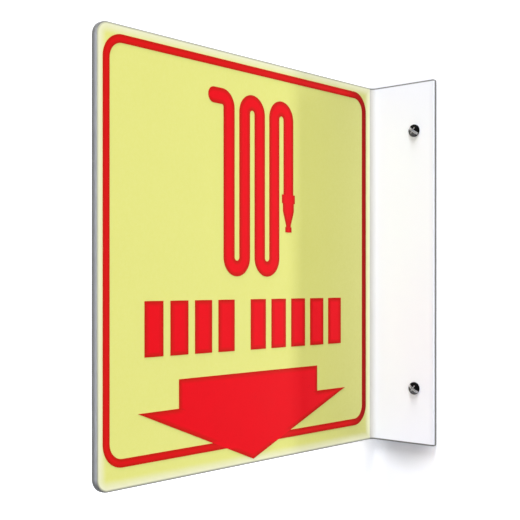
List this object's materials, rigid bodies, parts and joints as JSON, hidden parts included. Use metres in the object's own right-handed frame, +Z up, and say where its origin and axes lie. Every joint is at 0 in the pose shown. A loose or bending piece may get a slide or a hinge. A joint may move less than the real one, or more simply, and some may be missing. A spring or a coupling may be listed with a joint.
{
  "type": "projecting fire hose sign",
  "caption": "L-bent plastic sheet sign with a wall flange, luminous film on both faces of its deep leaf, and a red printed border, hose symbol and downward arrow.",
  "frame": {"origin": "middle of the flange's back face, which lies on the wall", "axes": "+Z up, +Y into the wall, +X along the wall from the bend to the flange's outer edge; the printed leaf stands out from the wall along -Y"},
  "size_m": [0.0448, 0.2286, 0.2032],
  "materials": {
    "sheet": "white plastic sheet, satin gloss, with cut edges that look a little darker",
    "luminous_film": "pale yellow-green luminous film, smooth and slightly glossy",
    "red_print": "signal red screen-printed ink, satin",
    "black_screw": "steel screw with a glossy black coating, worn to grey in the slot"
  },
  "bodies": {
    "root": {"sign_panel": "sheet", "glow_film_front": "luminous_film", "glow_film_back": "luminous_film", "border_arrow_front": "red_print", "border_arrow_back": "red_print", "hose_symbol_front": "red_print", "hose_symbol_back": "red_print", "legend_blocks_front": "red_print", "legend_blocks_back": "red_print", "wall_screws": "black_screw"}
  },
  "joints": []
}
